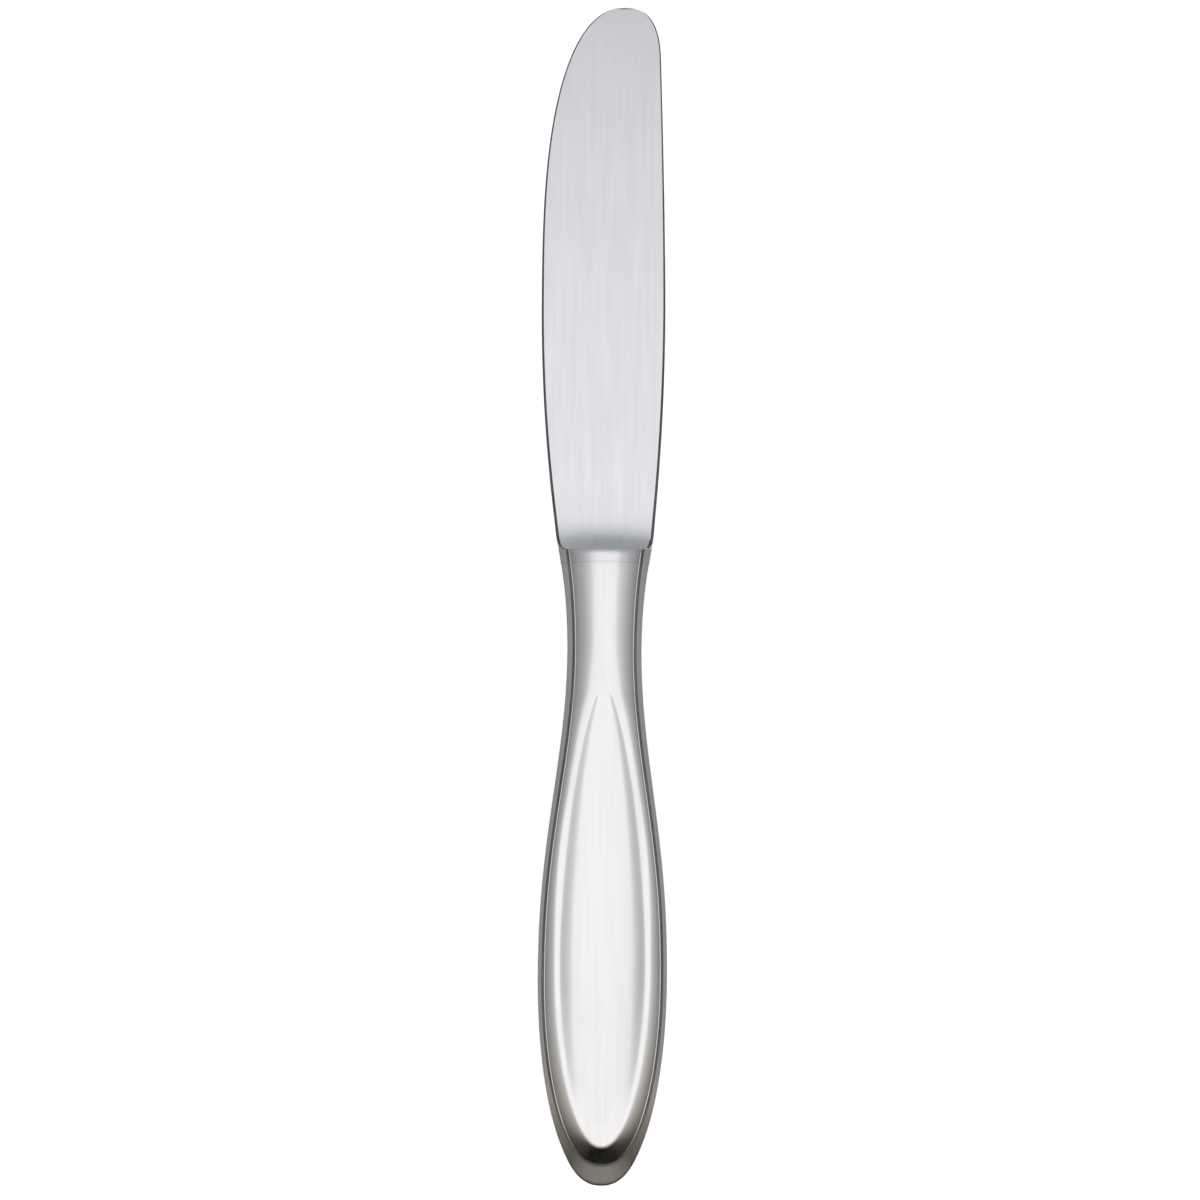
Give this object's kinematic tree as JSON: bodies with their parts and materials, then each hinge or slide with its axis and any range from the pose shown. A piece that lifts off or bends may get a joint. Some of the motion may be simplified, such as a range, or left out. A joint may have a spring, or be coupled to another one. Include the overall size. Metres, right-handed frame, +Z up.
{
  "type": "dinner knife",
  "caption": "Table knife with a rounded forged blade and a hollow stamped handle that has a stepped border and a sunk teardrop panel; used to cut food on a plate.",
  "frame": {"origin": "on the table under the middle of the knife's length, midway between the sides of the handle, with the knife lying flat on the rim of its back shell", "axes": "+Y from the butt of the handle to the tip of the blade, +X from the cutting edge to the spine, +Z up out of the front face"},
  "size_m": [0.0254, 0.23, 0.0075],
  "materials": {
    "blade_steel": "polished",
    "handle_steel": "polished",
    "filler_cement": "matte"
  },
  "bodies": {
    "root": {"blade": "blade_steel", "handle_shell_front": "handle_steel", "handle_shell_back": "handle_steel", "handle_filler": "filler_cement"}
  },
  "joints": []
}
